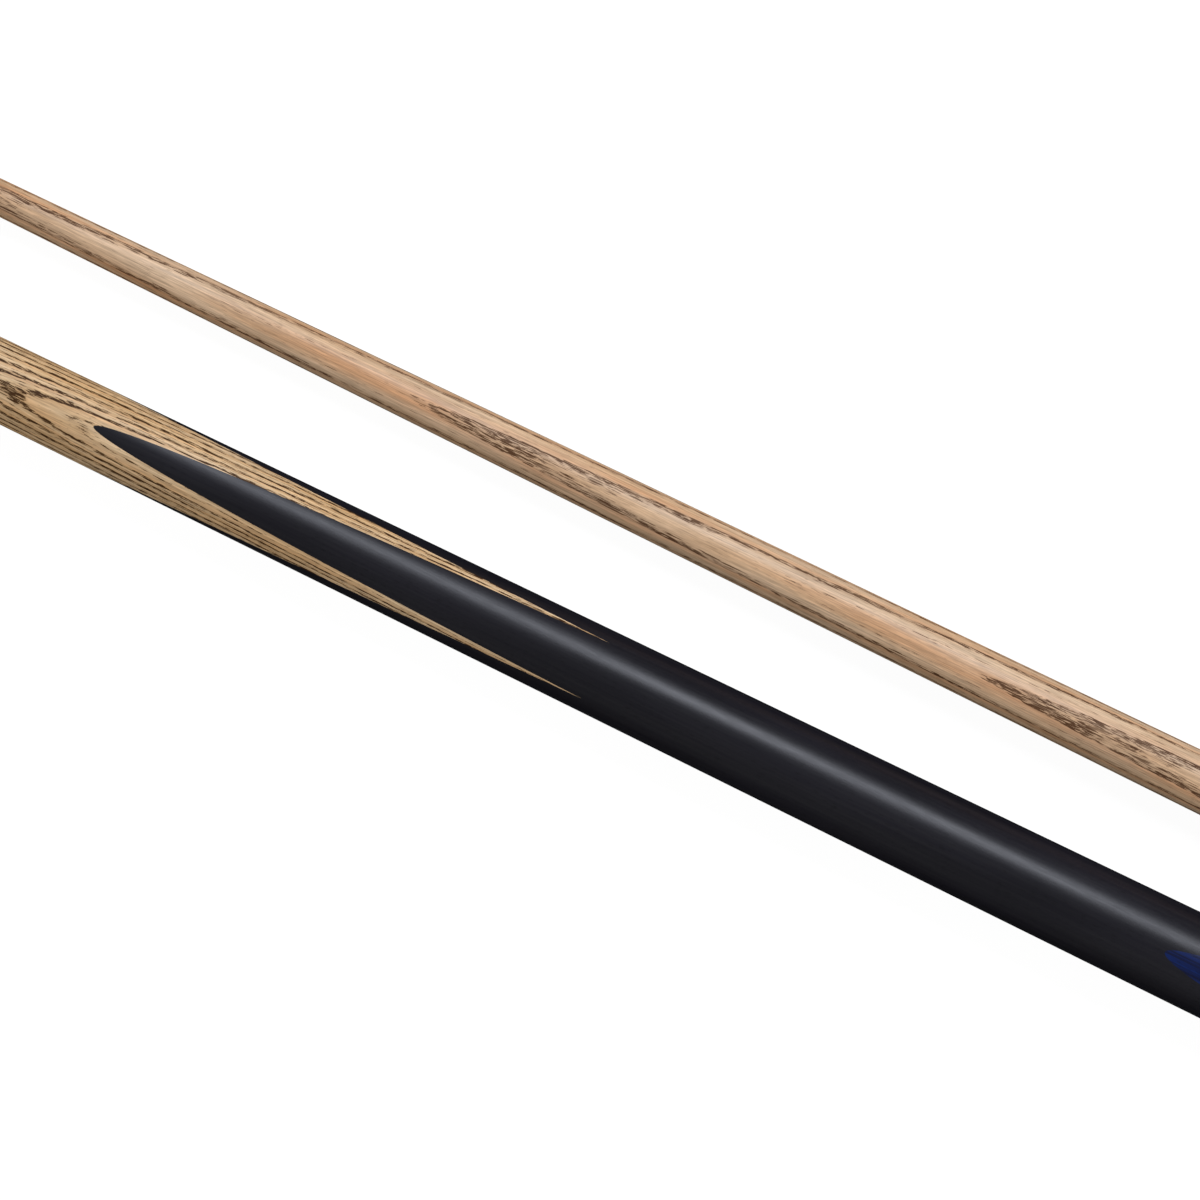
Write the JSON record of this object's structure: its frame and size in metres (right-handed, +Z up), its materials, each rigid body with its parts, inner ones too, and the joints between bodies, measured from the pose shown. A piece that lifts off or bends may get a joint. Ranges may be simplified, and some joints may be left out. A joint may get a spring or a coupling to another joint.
{
  "type": "pool cue",
  "caption": "Jointed wooden cue taken apart: a tapering ash shaft section beside a butt section with pointed dark hand splices, a stained splice, a brass screw joint and a rubber bumper.",
  "frame": {"origin": "centre of the butt section's joint face, the shoulder round the root of the joint pin", "axes": "+X along the butt section's axis from the joint face to the bumper, so the joint pin points along -X; +Y towards the shaft section lying parallel beside it with its tip towards -X; +Z up, and the stained splice is on the butt's upper side"},
  "size_m": [0.8686, 0.0709, 0.0297],
  "materials": {
    "tip_leather": "suede",
    "ferrule_brass": "polished",
    "shaft_ash": "oiled open-grained ash",
    "joint_brass": "polished",
    "butt_ash": "oiled open-grained ash",
    "dark_splices": "satin, close-grained",
    "stained_splice": "satin, stained",
    "lead_weight": "dull grey metal",
    "plug_wood": "plain",
    "insert_brass": "machined",
    "bumper_rubber": "matt",
    "steel_hardware": "zinc plated"
  },
  "bodies": {
    "butt_section": {"butt_core": "butt_ash", "splice_left": "dark_splices", "splice_right": "dark_splices", "splice_back": "dark_splices", "splice_front": "dark_splices", "splice_second": "stained_splice", "joint_collar": "joint_brass", "joint_pin": "joint_brass", "balance_weight": "lead_weight", "weight_plug": "plug_wood", "end_insert": "insert_brass"},
    "shaft_section": {"tip": "tip_leather", "ferrule": "ferrule_brass", "shaft": "shaft_ash", "joint_socket": "joint_brass"},
    "bumper_cap": {"bumper": "bumper_rubber", "bumper_washer": "steel_hardware"},
    "screw": {"bumper_screw": "steel_hardware"}
  },
  "joints": [
    {"name": "shaft_draw", "type": "slide", "parent": "butt_section", "child": "shaft_section", "axis": [-1, 0, 0], "range_m": [0, 0.885]},
    {"name": "bumper_out", "type": "slide", "parent": "butt_section", "child": "bumper_cap", "axis": [1, 0, 0], "range_m": [0, 0.022]},
    {"name": "bumper_screw_turn", "type": "hinge", "parent": "bumper_cap", "child": "screw", "pos_m": [0.724, 0, 0], "axis": [1, 0, 0], "range_deg": [0, 5290]}
  ],
  "couplings": [
    {"joint": "bumper_screw_turn", "follows": "bumper_out", "rad_per_m": 4188.8}
  ]
}
